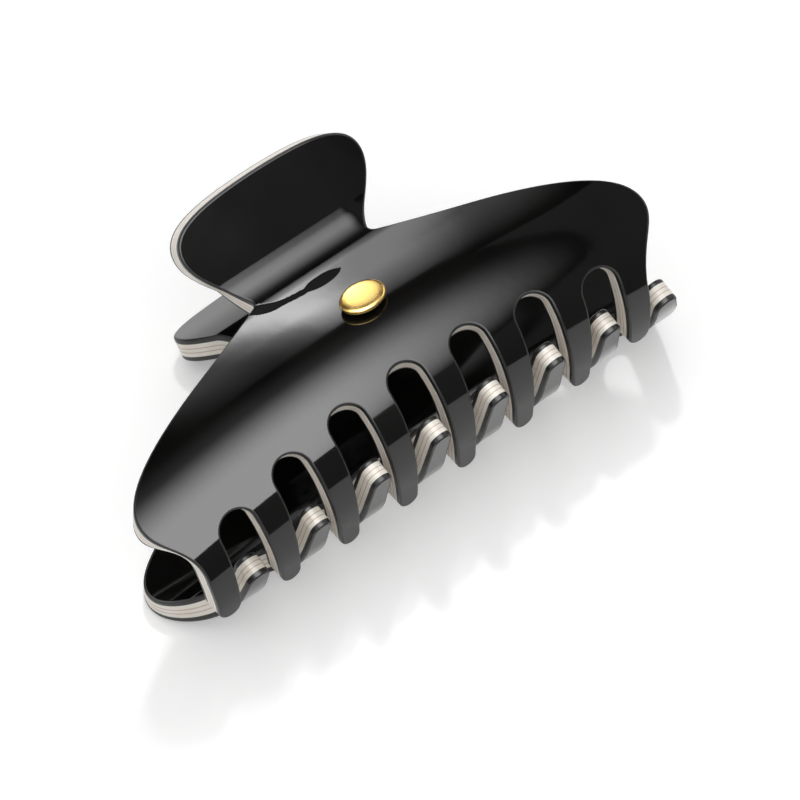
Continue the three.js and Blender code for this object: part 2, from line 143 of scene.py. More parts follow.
ORNAMENT_LEVEL = 14.9
ORNAMENT_LENGTH = 8.4
ORNAMENT_WIDTH = 6.4
ORNAMENT_THICKNESS = 1.1
ORNAMENT_LIFT = 0.9
POST_DIAMETER = 1.4
POST_SPACING = 3.6
POST_DEPTH = 2.4

# Finish of the sheet: rounded edges, and the layers that the cut edge shows, by depth
EDGE_RADIUS = 0.4
EDGE_STEPS = 6
MITRE_LIMIT = 2
LAYERS = (
    (0, "black_edge"),
    (1, "ivory"),
    (1.74, "seam"),
    (1.9, "ivory"),
    (2.54, "seam"),
    (2.7, "ivory"),
    (3.5, "black_edge"),
)

# What only the dressed jaws have. The upper one is fuller at its left and right ends than its solid. The
# rest is shading: how far each neck has turned from the tab's slope to the incline's at some levels, how the
# left and the right end lean, how the right side of the upper neck leans, and how much the end of the lower
# tab is turned.
DRESSING = {
    "upper": {
        "bulge_extra": {-1: 0.3, 1: 0.8},
        "neck_turn_shares": (
            (-6.4, 0),
            (-6.15, 0.05),
            (-5.2, 0.09),
            (-4.2, 0.32),
            (-3, 0.51),
            (-1, 0.69),
            (0, 0.81),
            (2, 0.89),
            (3, 1),
        ),
        "end_leans": (-6, 6),
        "neck_side_lean": 9,
        "tab_lift": 0,
    },
    "lower": {
        "bulge_extra": {-1: 0, 1: 0},
        "neck_turn_shares": ((-6.4, 0), (-4.5, 0.16), (2, 0.2), (5, 1)),
        "end_leans": (6, 15),
        "neck_side_lean": 0,
        "tab_lift": -9,
    },
}

# Shading of both jaws: the bends lag towards the ends of the jaw, the incline eases towards the crown, and
# the upper jaw has a leaf-shaped dip under its neck, whose stalk falls to the left. The dip's middle and
# reach are pairs of x and level, its stalk's widths run from narrow to wide, and the other pairs are where a
# change starts and ends.
BOW_LAG = 3.4
BOW_HALF_LENGTH = 50
TAB_LIFT_LEVELS = (5.5, 13)
NECK_SIDE_REACH = (9.5, 13.5)
NECK_SIDE_LEVELS = (0, 2.5)
INCLINE_EASE = 7.5
EASE_END = (9, 18)
DIP_MIDDLE = (-1.2, 4.45)
DIP_REACH = (3.8, 1.65)
DIP_LEAF_POWER = 0.7
DIP_EDGE_SHARES = (0.75, 1.05)
DIP_STALK_WIDTHS = (0.8, 1.8)
DIP_STALK_START = (2, 4)
DIP_STALK_FLARE = (8, 12)
DIP_STALK_FALL = 3.4
DIP_STALK_POWER = 3

# Rounding of the metal pieces, and half section of the oval in shares of its half sizes and its thickness
PIN_ROUNDING = 0.25
STUD_ROUNDING = 0.2
POST_ROUNDING = 0.1
ROUNDING_SHARES = (0, 0.15, 0.5, 0.85, 1)
PLATE_WELD = 0.01
PLATE_BEVEL = 0.12
PLATE_BEVEL_ANGLE = 50
PLATE_BEVEL_STEPS = 3
OVAL_SECTION_SHARES = (
    (0, 0),
    (0.8, 0),
    (0.94, 0.05),
    (0.99, 0.2),
    (1, 0.42),
    (0.985, 0.62),
    (0.95, 0.78),
    (0.9, 0.87),
    (0.82, 0.92),
    (0.65, 0.955),
    (0.45, 0.98),
    (0.2, 0.995),
    (0, 1),
)

# Fineness of the meshes, and how the faces are filled with triangles
CURVE_STEPS = 28
FILLET_STEPS = 6
ARC_STEPS = 16
OUTLINE_SPACING = 0.6
GRID_SPACING = (1.8, 0.7)
GRID_CLEARANCE = 0.45
NECK_GRID_REACH = (16, 8)
NECK_GRID_SPACING = (0.4, 0.2)
FILL_INSIDE_ONLY = 1
SAME_POINT_REACH = 1e-7
WIRE_SIDES = 14
STEPS_PER_CURL = 36
TURNED_SIDES = 48
OVAL_SIDES = 96
FLOOR_SIDES = 96


# Profile of a bent sheet: straights and arcs, walked from the tab's end to past the tooth tips


def arc_length(radius, start_slope, end_slope):
    return radius * math.radians(abs(end_slope - start_slope))


def build_profile(jaw):
    tab_slope, tooth_slope = jaw["tab_slope"], jaw["tooth_slope"]
    runs = [
        (jaw["tab_length"], tab_slope, tab_slope),
        (arc_length(NECK_RADIUS, tab_slope, INCLINE_SLOPE), tab_slope, INCLINE_SLOPE),
        (INCLINE_LENGTH, INCLINE_SLOPE, INCLINE_SLOPE),
        (arc_length(jaw["crown_radius"], INCLINE_SLOPE, CROWN_SLOPE), INCLINE_SLOPE, CROWN_SLOPE),
        (arc_length(SHOULDER_RADIUS, CROWN_SLOPE, SHOULDER_SLOPE), CROWN_SLOPE, SHOULDER_SLOPE),
        (arc_length(SIDE_RADIUS, SHOULDER_SLOPE, tooth_slope), SHOULDER_SLOPE, tooth_slope),
        (jaw["tip_level"], tooth_slope, tooth_slope),
    ]
    level = -(runs[0][0] + runs[1][0])
    point = (0, 0)
    profile = []
    for length, start_slope, end_slope in runs:
        run = {
            "start": level,
            "length": length,
            "from": math.radians(start_slope),
            "to": math.radians(end_slope),
            "point": point,
        }
        profile.append(run)
        point = along_run(run, length)
        level += length
    shift = (-profile[2]["point"][0], NECK_HEIGHT - profile[2]["point"][1])
    for run in profile:
        run["point"] = (run["point"][0] + shift[0], run["point"][1] + shift[1])
    return profile


def along_run(run, distance):
    """Depth and height of a point on a run."""
    start = run["from"]
    turn = run["to"] - start
    depth, height = run["point"]
    if turn == 0:
        return depth - distance * math.cos(start), height + distance * math.sin(start)
    radius = run["length"] / turn
    slope = start + distance / radius
    depth -= radius * (math.sin(slope) - math.sin(start))
    height -= radius * (math.cos(slope) - math.cos(start))
    return depth, height


def run_at(profile, level):
    reached = [run for run in profile if run["start"] <= level]
    return reached[-1] if reached else profile[0]


def slope_at(profile, level):
    run = run_at(profile, level)
    share = min(max((level - run["start"]) / run["length"], 0), 1)
    return run["from"] + (run["to"] - run["from"]) * share


def bend(profile, x, level, depth):
    """Point of the bent sheet: depth is 0 on the outer face and grows inwards."""
    run = run_at(profile, level)
    back, height = along_run(run, level - run["start"])
    slope = slope_at(profile, level)
    return Vector((x, back - depth * math.sin(slope), height - depth * math.cos(slope)))


def sheet_axes(slope):
    """Directions out of the outer face and down the sheet towards the teeth."""
    out = Vector((0, math.sin(slope), math.cos(slope)))
    down = Vector((0, -math.cos(slope), math.sin(slope)))
    return out, down


def sheet_frame(profile, x, level, depth):
    """X along the hinge, Y down the sheet, Z out of the outer face."""
    out, down = sheet_axes(slope_at(profile, level))
    along = down.cross(out)
    turn = Matrix((along, down, out)).transposed().to_4x4()
    return Matrix.Translation(bend(profile, x, level, depth)) @ turn


def cad_stations(profile):
    levels = []
    for run in profile:
        turn = abs(math.degrees(run["to"] - run["from"]))
        steps = max(1, math.ceil(round(turn / CAD_BEND_STEP, CAD_STEP_DIGITS)))
        levels.extend(run["start"] + run["length"] * step / steps for step in range(steps))
    return levels


def resting_tilt(profile):
    """The clip lies on the end of its lower tab and on its belly."""
    tab_end = bend(profile, 0, profile[0]["start"], 0)
    slopes = []
    for level in cad_stations(profile)[1:]:
        point = bend(profile, 0, level, 0)
        slopes.append((point.z - tab_end.z) / (point.y - tab_end.y))
    return math.atan(min(slopes))


PROFILES = {which: build_profile(jaw) for which, jaw in JAWS.items()}
pin_low, pin_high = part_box("hinge_pin")
CLIP = (
    Matrix.Translation((pin_low + pin_high) / 2)
    @ Matrix.Rotation(resting_tilt(PROFILES["lower"]), 4, "X")
    @ Matrix.Scale(MM, 4)
    @ Matrix.Translation((0, PIN_SETBACK, 0))
)
HALVES = {"upper": CLIP, "lower": CLIP @ Matrix.Rotation(math.pi, 4, "Y")}


# Flat outline of a jaw


def bezier(corners, steps):
    a, b, c, d = (Vector(corner) for corner in corners)
    points = []
    for step in range(steps + 1):
        t = step / steps
        u = 1 - t
        points.append(a * u**3 + b * 3 * u * u * t + c * 3 * u * t * t + d * t**3)
    return points


def rounded_corner(start, corner, end):
    """Quadratic curve from start to end, written as a cubic."""
    lean = 2 / 3
    return bezier((start, start.lerp(corner, lean), end.lerp(corner, lean), end), FILLET_STEPS)


def half_circle(x, level, radius, towards_tip):
    rise = 1 if towards_tip else -1
    points = []
    for step in range(ARC_STEPS + 1):
        angle = math.pi * step / ARC_STEPS
        points.append(Vector((x + radius * math.cos(angle), level + rise * radius * math.sin(angle))))
    return points


def fall_share(from_middle):
    return (from_middle / ((TOOTH_COUNT - 1) / 2 * TIP_PITCH)) ** 2


def tooth_tip(jaw, index):
    from_middle = (index - (TOOTH_COUNT - 1) / 2) * TIP_PITCH
    at_end = index in (0, TOOTH_COUNT - 1)
    extra = END_TOOTH_EXTRA if at_end else 0
    side = -1 if index == 0 else 1
    radius = (TIP_WIDTH + extra) / 2
    level = jaw["tip_level"] - jaw["tip_fall"] * fall_share(from_middle) - radius
    return jaw["comb_shift"] + from_middle + side * extra / 2, level, radius


def gap_root(jaw, index):
    from_middle = (index - (TOOTH_COUNT - 2) / 2) * ROOT_PITCH
    radius = GAP_WIDTH / 2
    level = GAP_ROOT_LEVEL + GAP_ROOT_FALL * fall_share(from_middle) + radius
    return jaw["comb_shift"] + from_middle, level, radius


def body_side(jaw, side):
    """From the neck corner over the wing and the bulge to the end tooth."""
    bulge = side * (BODY_HALF_LENGTH + jaw["bulge_extra"][side]) + jaw["body_shift"]
    neck = side * NECK_HALF_WIDTH
    wing = neck + (bulge - neck) * WING_REACH_SHARE
    corner = Vector((neck, 0))
    wing_start = corner + Vector((wing - neck, WING_LEVEL)).normalized() * NECK_FILLET
    fillet = rounded_corner(Vector((neck, -NECK_FILLET)), corner, wing_start)
    tip_x, tip_level, tip_radius = tooth_tip(jaw, TOOTH_COUNT - 1 if side > 0 else 0)
    comb_end = tip_x + side * (tip_radius + END_TOOTH_FLARE)
    level = jaw["bulge_level"]
    wing_corners = (wing_start, (wing, WING_LEVEL), (bulge, level - BULGE_DEPTH), (bulge, level))
    first, second, third = jaw["waist_levels"]
    waist_corners = ((bulge, level), (bulge, first), (comb_end, second), (comb_end, third))
    tooth_start = Vector((tip_x + side * tip_radius, tip_level))
    wing_points = bezier(wing_corners, CURVE_STEPS)
    waist_points = bezier(waist_corners, CURVE_STEPS)
    return fillet[:-1] + wing_points + waist_points[1:] + [tooth_start]


def tab_side(jaw, side):
    """From the neck corner to the middle of the tab's end."""
    end = PROFILES[jaw["which"]][0]["start"]
    reach = TAB_CORNER_REACH
    flank = NECK_HALF_WIDTH + (TAB_HALF_WIDTH - NECK_HALF_WIDTH) * FLANK_START_SHARE
    widest = -TAB_WIDEST_LEVEL
    fall = end + TAB_END_BOW - widest
    flank_corners = (
        (side * NECK_HALF_WIDTH, -NECK_FILLET),
        (side * flank, widest * FLANK_LEVEL_SHARES[0]),
        (side * TAB_HALF_WIDTH, widest * FLANK_LEVEL_SHARES[1]),
        (side * TAB_HALF_WIDTH, widest),
    )
    before_end = side * (TAB_HALF_WIDTH - reach * (1 - CORNER_REACH_SHARE))
    corner_corners = (
        (side * TAB_HALF_WIDTH, widest),
        (side * TAB_HALF_WIDTH, widest + fall * CORNER_LEVEL_SHARES[0]),
        (before_end, widest + fall * CORNER_LEVEL_SHARES[1]),
        (side * (TAB_HALF_WIDTH - reach), widest + fall),
    )
    corner_end, middle = Vector(corner_corners[3]), Vector((0, end))
    end_corners = (corner_end, corner_end + (corner_end - Vector(corner_corners[2])) * END_EASE_SHARE)
    end_corners += (middle.lerp(Vector((corner_end.x, end)), END_EASE_SHARE), middle)
    points = []
    for corners in (flank_corners, corner_corners, end_corners):
        points += bezier(corners, CURVE_STEPS)[1:]
    return points


def spaced(points, spacing):
    """The closed line with long stretches split."""
    split = []
    for index, start in enumerate(points):
        end = points[(index + 1) % len(points)]
        steps = max(1, math.ceil((end - start).length / spacing))
        split.extend(start.lerp(end, step / steps) for step in range(steps))
    return split


def jaw_outline(jaw):
    """Closed line, counterclockwise when x runs right and the level runs up."""
    points = body_side(jaw, 1)
    for index in reversed(range(TOOTH_COUNT)):
        tip_points = half_circle(*tooth_tip(jaw, index), True)
        points += tip_points[1:] if index == TOOTH_COUNT - 1 else tip_points
        if index > 0:
            points += half_circle(*gap_root(jaw, index - 1), False)
    points += body_side(jaw, -1)[::-1][1:]
    points += tab_side(jaw, -1)
    points += tab_side(jaw, 1)[::-1][1:]
    return spaced(points, OUTLINE_SPACING)


def outward_normals(points):
    """Unit normals of a closed counterclockwise line, and how far a corner moves for each unit of inset."""
    normals = []
    for index, point in enumerate(points):
        before = (point - points[index - 1]).normalized()
        after = (points[(index + 1) % len(points)] - point).normalized()
        mean = (before + after).normalized()
        stretch = 1 / max(mean.dot(after), 1 / MITRE_LIMIT)
        normals.append((Vector((mean.y, -mean.x)), stretch))
    return normals


# Meshes


def new_object(name, vertices, faces, materials, face_slots=None, normals=None):
    mesh = bpy.data.meshes.new(name)
    mesh.from_pydata(vertices, [], faces)
    for material in materials:
        mesh.materials.append(material)
    mesh.polygons.foreach_set("use_smooth", [True] * len(mesh.polygons))
    if face_slots:
        mesh.polygons.foreach_set("material_index", face_slots)
    if normals:
        mesh.normals_split_custom_set_from_vertices(normals)
    mesh.update()
    made = bpy.data.objects.new(name, mesh)
    bpy.context.scene.collection.objects.link(made)
    return made


def edge_rings():
    """Depth, inset from the outline and lean of the normal, from the outer face to the inner one."""
    rings = []
    for step in range(EDGE_STEPS + 1):
        lean = math.pi / 2 * step / EDGE_STEPS
        rings.append((EDGE_RADIUS * (1 - math.cos(lean)), EDGE_RADIUS * (1 - math.sin(lean)), lean))
    rings += [(depth, 0, math.pi / 2) for depth, _ in LAYERS[1:]]
    for step in range(EDGE_STEPS + 1):
        lean = math.pi / 2 * (1 + step / EDGE_STEPS)
        depth = SHEET - EDGE_RADIUS * (1 + math.cos(lean))
        rings.append((depth, EDGE_RADIUS * (1 - math.sin(lean)), lean))
    return rings


def layer_at(depth):
    return [name for start, name in LAYERS if start <= depth][-1]


def smooth_share(value, start, end):
    share = min(max((value - start) / (end - start), 0), 1)
    return share * share * (3 - 2 * share)


def neck_turn_share(jaw, level):
    """How far the neck has turned from the tab's slope to the incline's."""
    shares = jaw["neck_turn_shares"]
    for (start, low), (end, high) in zip(shares, shares[1:]):
        if level < end:
            return low + (high - low) * max(level - start, 0) / (end - start)
    return 1


def dip_share(jaw, x, level):
    """1 in the dip under the upper jaw's neck, 0 outside it: a leaf whose stalk runs to the left."""
    if jaw["which"] == "lower":
        return 0
    middle_x, middle_level = DIP_MIDDLE
    along = x - middle_x
    leaf = DIP_REACH[1] * max(1 - (along / DIP_REACH[0]) ** 2, 0) ** DIP_LEAF_POWER
    narrow, wide = DIP_STALK_WIDTHS
    width = narrow + (wide - narrow) * smooth_share(-x, *DIP_STALK_FLARE)
    stalk = smooth_share(-along, *DIP_STALK_START) * width
    half_width = max(leaf, stalk)
    if half_width == 0:
        return 0
    centre = middle_level - DIP_STALK_FALL * (max(-along, 0) / NECK_HALF_WIDTH) ** DIP_STALK_POWER
    return 1 - smooth_share(abs(level - centre) / half_width, *DIP_EDGE_SHARES)


def face_axes(jaw, x, level):
    """Out and down directions of the slightly hollow sheet, used for its shading."""
    share = x / BOW_HALF_LENGTH
    shown = max(level - BOW_LAG * share * share, min(level, INCLINE_LENGTH), 0)
    slope = math.degrees(slope_at(PROFILES[jaw["which"]], shown))
    slope -= INCLINE_EASE * (1 - smooth_share(shown, *EASE_END))
    slope += (jaw["tab_slope"] - slope) * (1 - neck_turn_share(jaw, level))
    slope += (INCLINE_SLOPE - slope) * dip_share(jaw, x, level)
    slope += jaw["tab_lift"] * smooth_share(-level, *TAB_LIFT_LEVELS)
    out, down = sheet_axes(math.radians(slope))
    fade = min(max(level / INCLINE_LENGTH, 0), 1)
    out.x = math.tan(math.radians(jaw["end_leans"][x > 0])) * abs(share) * fade
    side = smooth_share(x, *NECK_SIDE_REACH) * smooth_share(-level, *NECK_SIDE_LEVELS)
    out.x += math.tan(math.radians(jaw["neck_side_lean"])) * side
    return out.normalized(), down


def grid(low, high, spacing):
    """Points of a plane grid between two corners."""
    columns = math.ceil((high[0] - low[0]) / spacing[0])
    rows = math.ceil((high[1] - low[1]) / spacing[1])
    for row in range(rows):
        for column in range(columns):
            yield Vector((low[0] + column * spacing[0], low[1] + row * spacing[1]))


def inner_points(loop):
    """Points inside the face that keep the bends smooth, finer at the neck, clear of the boundary."""
    tree = KDTree(len(loop))
    for index, point in enumerate(loop):
        tree.insert(point.to_3d(), index)
    tree.balance()
    xs, levels = [point.x for point in loop], [point.y for point in loop]
    reach_x, reach_level = NECK_GRID_REACH
    coarse = grid((min(xs), min(levels)), (max(xs), max(levels)), GRID_SPACING)
    points = [point for point in coarse if abs(point.x) > reach_x or abs(point.y) > reach_level]
    points += grid((-reach_x, -reach_level), (reach_x, reach_level), NECK_GRID_SPACING)
    return [point for point in points if tree.find(point.to_3d())[2] > GRID_CLEARANCE]


def build_jaw(which, materials):
    jaw = {**JAWS[which], **DRESSING[which], "which": which}
    profile = PROFILES[which]
    outline = jaw_outline(jaw)
    corners = outward_normals(outline)
    rings = edge_rings()
    vertices, normals, faces, face_slots = [], [], [], []
    slots = [material.name for material in materials]

    def add(point, depth, lean, side):
        out, down = face_axes(jaw, point.x, point.y)
        edge = Vector((side.x, 0, 0)) + down * side.y
        vertices.append(bend(profile, point.x, point.y, depth))
        normals.append(out * math.cos(lean) + edge * math.sin(lean))

    for depth, inset, lean in rings:
        for point, (normal, stretch) in zip(outline, corners):
            add(point - normal * inset * stretch, depth, lean, normal)
    count = len(outline)
    for ring in range(len(rings) - 1):
        slot = slots.index(layer_at((rings[ring][0] + rings[ring + 1][0]) / 2))
        for index in range(count):
            after = (index + 1) % count
            here, below = ring * count, (ring + 1) * count
            faces.append((here + index, here + after, below + after, below + index))
            face_slots.append(slot)

    loop = [point - normal * EDGE_RADIUS * stretch for point, (normal, stretch) in zip(outline, corners)]
    flat = loop + inner_points(loop)
    found = delaunay_2d_cdt(flat, [], [list(range(count))], FILL_INSIDE_ONLY, SAME_POINT_REACH)
    flat_points, _, triangles, sources = found[:4]
    for depth, lean, first in ((0, 0, 0), (SHEET, math.pi, (len(rings) - 1) * count)):
        places = []
        for point, source in zip(flat_points, sources):
            border = [index for index in source if index < count]
            if border:
                places.append(first + border[0])
                continue
            places.append(len(vertices))
            add(point, depth, lean, Vector((0, 0)))
        for triangle in triangles:
            face = tuple(places[index] for index in triangle)
            faces.append(face[::-1] if depth == 0 else face)
            face_slots.append(slots.index("black"))

    half = HALVES[which]
    turn = half.to_3x3().normalized()
    placed = [half @ vertex for vertex in vertices]
    shaded = [(turn @ normal).normalized() for normal in normals]
    made = new_object(f"{which}_jaw_sheet", placed, faces, materials, face_slots, shaded)
    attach(made, f"{which}_half")
    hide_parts(f"{which}_jaw")
    return made


def turned(name, section, place, material, sides=TURNED_SIDES):
    """Solid turned about Z from radii and heights, bottom first, both ends on the axis."""
    vertices = [Vector((0, 0, section[0][1]))]
    for radius, height in section[1:-1]:
        for side in range(sides):
            angle = 2 * math.pi * side / sides
            vertices.append(Vector((radius * math.cos(angle), radius * math.sin(angle), height)))
    vertices.append(Vector((0, 0, section[-1][1])))
    faces = []
    for ring in range(len(section) - 3):
        for side in range(sides):
            after = (side + 1) % sides
            here, above = 1 + ring * sides, 1 + (ring + 1) * sides
            faces.append((here + side, here + after, above + after, above + side))
    top = 1 + (len(section) - 3) * sides
    for side in range(sides):
        after = (side + 1) % sides
        faces.append((0, 1 + after, 1 + side))
        faces.append((len(vertices) - 1, top + side, top + after))
    return new_object(name, [place @ vertex for vertex in vertices], faces, [material])


def rounded_section(corners, radius):
    """Half section with its outer corners rounded, from pairs of radius and height, bottom first."""
    section = [corners[0]]
    for index in range(1, len(corners) - 1):
        corner = Vector(corners[index])
        before = (Vector(corners[index - 1]) - corner).normalized() * radius
        after = (Vector(corners[index + 1]) - corner).normalized() * radius
        for share in ROUNDING_SHARES:
            bulge = corner + before * (1 - share) ** 2 + after * share**2
            section.append(tuple(bulge))
    section.append(corners[-1])
    return section


def tube(name, path, diameter, material):
    """Round wire along a path, closed at both ends."""
    vertices, faces = [], []
    side = Vector((1, 0, 0))
    last = len(path) - 1
    for index, point in enumerate(path):
        direction = (path[min(index + 1, last)] - path[max(index - 1, 0)]).normalized()
        side = (side - direction * side.dot(direction)).normalized()
        other = direction.cross(side)
        for corner in range(WIRE_SIDES):
            angle = 2 * math.pi * corner / WIRE_SIDES
            reach = side * math.cos(angle) + other * math.sin(angle)
            vertices.append(point + reach * diameter / 2)
    for index in range(last):
        for corner in range(WIRE_SIDES):
            after = (corner + 1) % WIRE_SIDES
            here, ahead = index * WIRE_SIDES, (index + 1) * WIRE_SIDES
            faces.append((here + corner, here + after, ahead + after, ahead + corner))
    faces.append(tuple(reversed(range(WIRE_SIDES))))
    faces.append(tuple(range(last * WIRE_SIDES, (last + 1) * WIRE_SIDES)))
    return new_object(name, [CLIP @ vertex for vertex in vertices], faces, [material])


# Spring: one wire coiled about the pin, with a leg to each tab that ends square to it


def spring_leg(profile):
    level = profile[1]["start"] - LEG_REACH
    foot = bend(profile, 0, level, SHEET).yz
    slope = slope_at(profile, level)
    inwards = Vector((-math.sin(slope), -math.cos(slope)))
    end = foot + inwards * FIXED_GAP
    corner = end + inwards * LEG_END_LENGTH
    centre = Vector((-PIN_SETBACK, 0))
    reach = corner - centre
    leave = math.atan2(reach.y, reach.x) - math.acos(COIL_RADIUS / reach.length)
    coil_end = centre + Vector((math.cos(leave), math.sin(leave))) * COIL_RADIUS
    towards = (corner - coil_end).normalized()
    bend_start = corner - towards * LEG_BEND_REACH
    bend_end = corner - inwards * LEG_BEND_REACH
    return leave, rounded_corner(bend_start, corner, bend_end) + [end]


def build_spring(material):
    upper_leave, upper_leg = spring_leg(PROFILES["upper"])
    lower_leave, lower_leg = spring_leg(PROFILES["lower"])
    span = COIL_TURNS * 2 * math.pi + upper_leave + lower_leave
    curls = span / (2 * math.pi)
    half_length = WIRE_SPACING * curls / 2
    steps = round(curls * STEPS_PER_CURL)
    path = [Vector((-half_length, point.x, -point.y)) for point in reversed(lower_leg)]
    for step in range(steps + 1):
        angle = span * step / steps - lower_leave
        x = half_length * (2 * step / steps - 1)
        path.append(Vector((x, -PIN_SETBACK + COIL_RADIUS * math.cos(angle), COIL_RADIUS * math.sin(angle))))
    path += [Vector((half_length, point.x, point.y)) for point in upper_leg]
    made = tube("spring_wire", path, WIRE_DIAMETER, material)
    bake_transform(made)
    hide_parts("torsion_spring")


def build_pin(material):
    reach = EAR_SPACING / 2 + PLATE_THICKNESS + FIXED_GAP * 2
    end = reach + PIN_HEAD_LENGTH
    shank, head = PIN_DIAMETER / 2, PIN_HEAD_DIAMETER / 2
    above = [(shank, reach), (head, reach), (head, end), (0, end)]
    below = [(radius, -height) for radius, height in reversed(above)]
    place = CLIP @ Matrix.Translation((0, -PIN_SETBACK, 0)) @ Matrix.Rotation(math.pi / 2, 4, "Y")
    made = turned("pin_with_round_heads", rounded_section(below + above, PIN_ROUNDING), place, material)
    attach(made, "lower_half")
    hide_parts("hinge_pin")


def build_rivets(which, material):
    profile = PROFILES[which]
    level = PLATE_START + PLATE_LENGTH / 2
    head_top = -PLATE_THICKNESS - FIXED_GAP
    start = head_top - STUD_HEAD_HEIGHT
    end = FIXED_GAP + STUD_DEPTH
    shank, head = STUD_DIAMETER / 2, STUD_HEAD_DIAMETER / 2
    corners = [(0, start), (head, start), (head, head_top), (shank, head_top), (shank, end), (0, end)]
    section = rounded_section(corners, STUD_ROUNDING)
    for number, side in enumerate((-1, 1), 1):
        place = HALVES[which] @ sheet_frame(profile, side * STUD_SPACING / 2, level, SHEET + FIXED_GAP)
        made = turned(f"{which}_rivet_{number}", section, place, material)
        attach(made, f"{which}_half")
        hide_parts(f"{which}_plate_rivet_{number}")


def build_ornament(material):
    """Plain domed oval on two posts."""
    profile, half = PROFILES["upper"], HALVES["upper"]
    section = []
    for radius_share, height_share in OVAL_SECTION_SHARES:
        section.append((radius_share, ORNAMENT_LIFT + height_share * ORNAMENT_THICKNESS))
    size = Matrix.Diagonal((ORNAMENT_LENGTH / 2, ORNAMENT_WIDTH / 2, 1, 1))
    place = half @ sheet_frame(profile, 0, ORNAMENT_LEVEL, 0) @ size
    plate = turned("oval_plate", section, place, material, OVAL_SIDES)
    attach(plate, "upper_half")
    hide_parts("ornament")
    radius, top = POST_DIAMETER / 2, ORNAMENT_LIFT + ORNAMENT_THICKNESS / 2
    corners = [(0, -POST_DEPTH), (radius, -POST_DEPTH), (radius, top), (0, top)]
    for number, side in enumerate((-1, 1), 1):
        place = half @ sheet_frame(profile, side * POST_SPACING / 2, ORNAMENT_LEVEL, 0)
        post = turned(f"ornament_post_{number}", rounded_section(corners, POST_ROUNDING), place, material)
        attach(post, "upper_half")


# Materials: colours, range of roughness, fineness of the pattern, and strength and distance of the relief

NOISE_DETAIL = 3
NOISE_RANGE = (0.3, 0.7)
RELIEF_FINENESS = 3
BLACK_DARK = (0.003, 0.003, 0.003)
BLACK_LIGHT = (0.006, 0.0056, 0.0052)
LOOKS = {
    "black": {
        "dark": BLACK_DARK,
        "light": BLACK_LIGHT,
        "roughness": (0.05, 0.09),
        "fineness": 60,
        "relief": (0.05, 0.0002),
    },
    "black_edge": {
        "dark": BLACK_DARK,
        "light": BLACK_LIGHT,
        "roughness": (0.3, 0.42),
        "fineness": 200,
        "relief": (0.1, 0.0001),
    },
    "ivory": {
        "dark": (0.85, 0.8, 0.71),
        "light": (0.92, 0.88, 0.81),
        "roughness": (0.3, 0.45),
        "fineness": 300,
        "relief": (0.15, 0.0002),
    },
    "seam": {
        "dark": (0.58, 0.42, 0.33),
        "light": (0.67, 0.51, 0.42),
        "roughness": (0.3, 0.5),
        "fineness": 300,
        "relief": (0.1, 0.0001),
    },
    "gold": {
        "dark": (0.76, 0.49, 0.14),
        "light": (0.85, 0.59, 0.21),
        "roughness": (0.2, 0.3),
        "fineness": 400,
        "relief": (0.04, 0.0001),
        "metallic": 1,
    },
    "plated_steel": {
        "dark": (0.5, 0.5, 0.51),
        "light": (0.62, 0.62, 0.63),
        "roughness": (0.25, 0.4),
        "fineness": 400,
        "relief": (0.05, 0.0001),
        "metallic": 0.75,
    },
    "spring_steel": {
        "dark": (0.34, 0.34, 0.36),
        "light": (0.45, 0.45, 0.46),
        "roughness": (0.3, 0.45),
        "fineness": 500,
        "relief": (0.08, 0.0001),
        "metallic": 0.7,
    },
}


def new_material(name):
    material = bpy.data.materials.new(name)
    material.use_nodes = True
    tree = material.node_tree
    return material, tree, tree.nodes["Principled BSDF"]


def noise(tree, fineness):
    place = tree.nodes.new("ShaderNodeTexCoord")
    texture = tree.nodes.new("ShaderNodeTexNoise")
    texture.inputs["Scale"].default_value = fineness
    texture.inputs["Detail"].default_value = NOISE_DETAIL
    tree.links.new(place.outputs["Object"], texture.inputs["Vector"])
    return texture.outputs["Fac"]


def spread_noise(tree, value, low, high):
    """Low to high over the range that most of the noise lies in."""
    spread = tree.nodes.new("ShaderNodeMapRange")
    spread.inputs["From Min"].default_value = NOISE_RANGE[0]
    spread.inputs["From Max"].default_value = NOISE_RANGE[1]
    spread.inputs["To Min"].default_value = low
    spread.inputs["To Max"].default_value = high
    tree.links.new(value, spread.inputs["Value"])
    return spread.outputs["Result"]


def blended(tree, value, first, second):
    mix = tree.nodes.new("ShaderNodeMix")
    mix.data_type = "RGBA"
    mix.inputs["A"].default_value = (*first, 1)
    mix.inputs["B"].default_value = (*second, 1)
    tree.links.new(value, mix.inputs["Factor"])
    return mix.outputs["Result"]


def add_bump(tree, shader, height, strength, distance):
    bump = tree.nodes.new("ShaderNodeBump")
    bump.inputs["Strength"].default_value = strength
    bump.inputs["Distance"].default_value = distance
    tree.links.new(height, bump.inputs["Height"])
    tree.links.new(bump.outputs["Normal"], shader.inputs["Normal"])


def surface(name, dark, light, roughness, fineness, relief, metallic=0):
    """Principled surface with varied colour and roughness and a fine relief."""
    material, tree, shader = new_material(name)
    pattern = noise(tree, fineness)
    colour = blended(tree, spread_noise(tree, pattern, 0, 1), dark, light)
    tree.links.new(colour, shader.inputs["Base Color"])
    tree.links.new(spread_noise(tree, pattern, *roughness), shader.inputs["Roughness"])
    shader.inputs["Metallic"].default_value = metallic
    add_bump(tree, shader, noise(tree, fineness * RELIEF_FINENESS), *relief)
    return material


# Floor, lamps, cards that only reflections see, and camera. Places and sizes are in metres.

FLOOR_RADIUS = 0.3
FLOOR_DROP = 0.00002
FLOOR_FINENESS = 40
FLOOR_DARK = (0.89, 0.89, 0.89)
FLOOR_LIGHT = (0.91, 0.91, 0.91)
FLOOR_GLOW = 0.3
FLOOR_SHEEN = 0.05
FLOOR_SHEEN_ROUGHNESS = 0.1
WHITE = (1, 1, 1, 1)
AMBIENT_LEVEL = 0.35

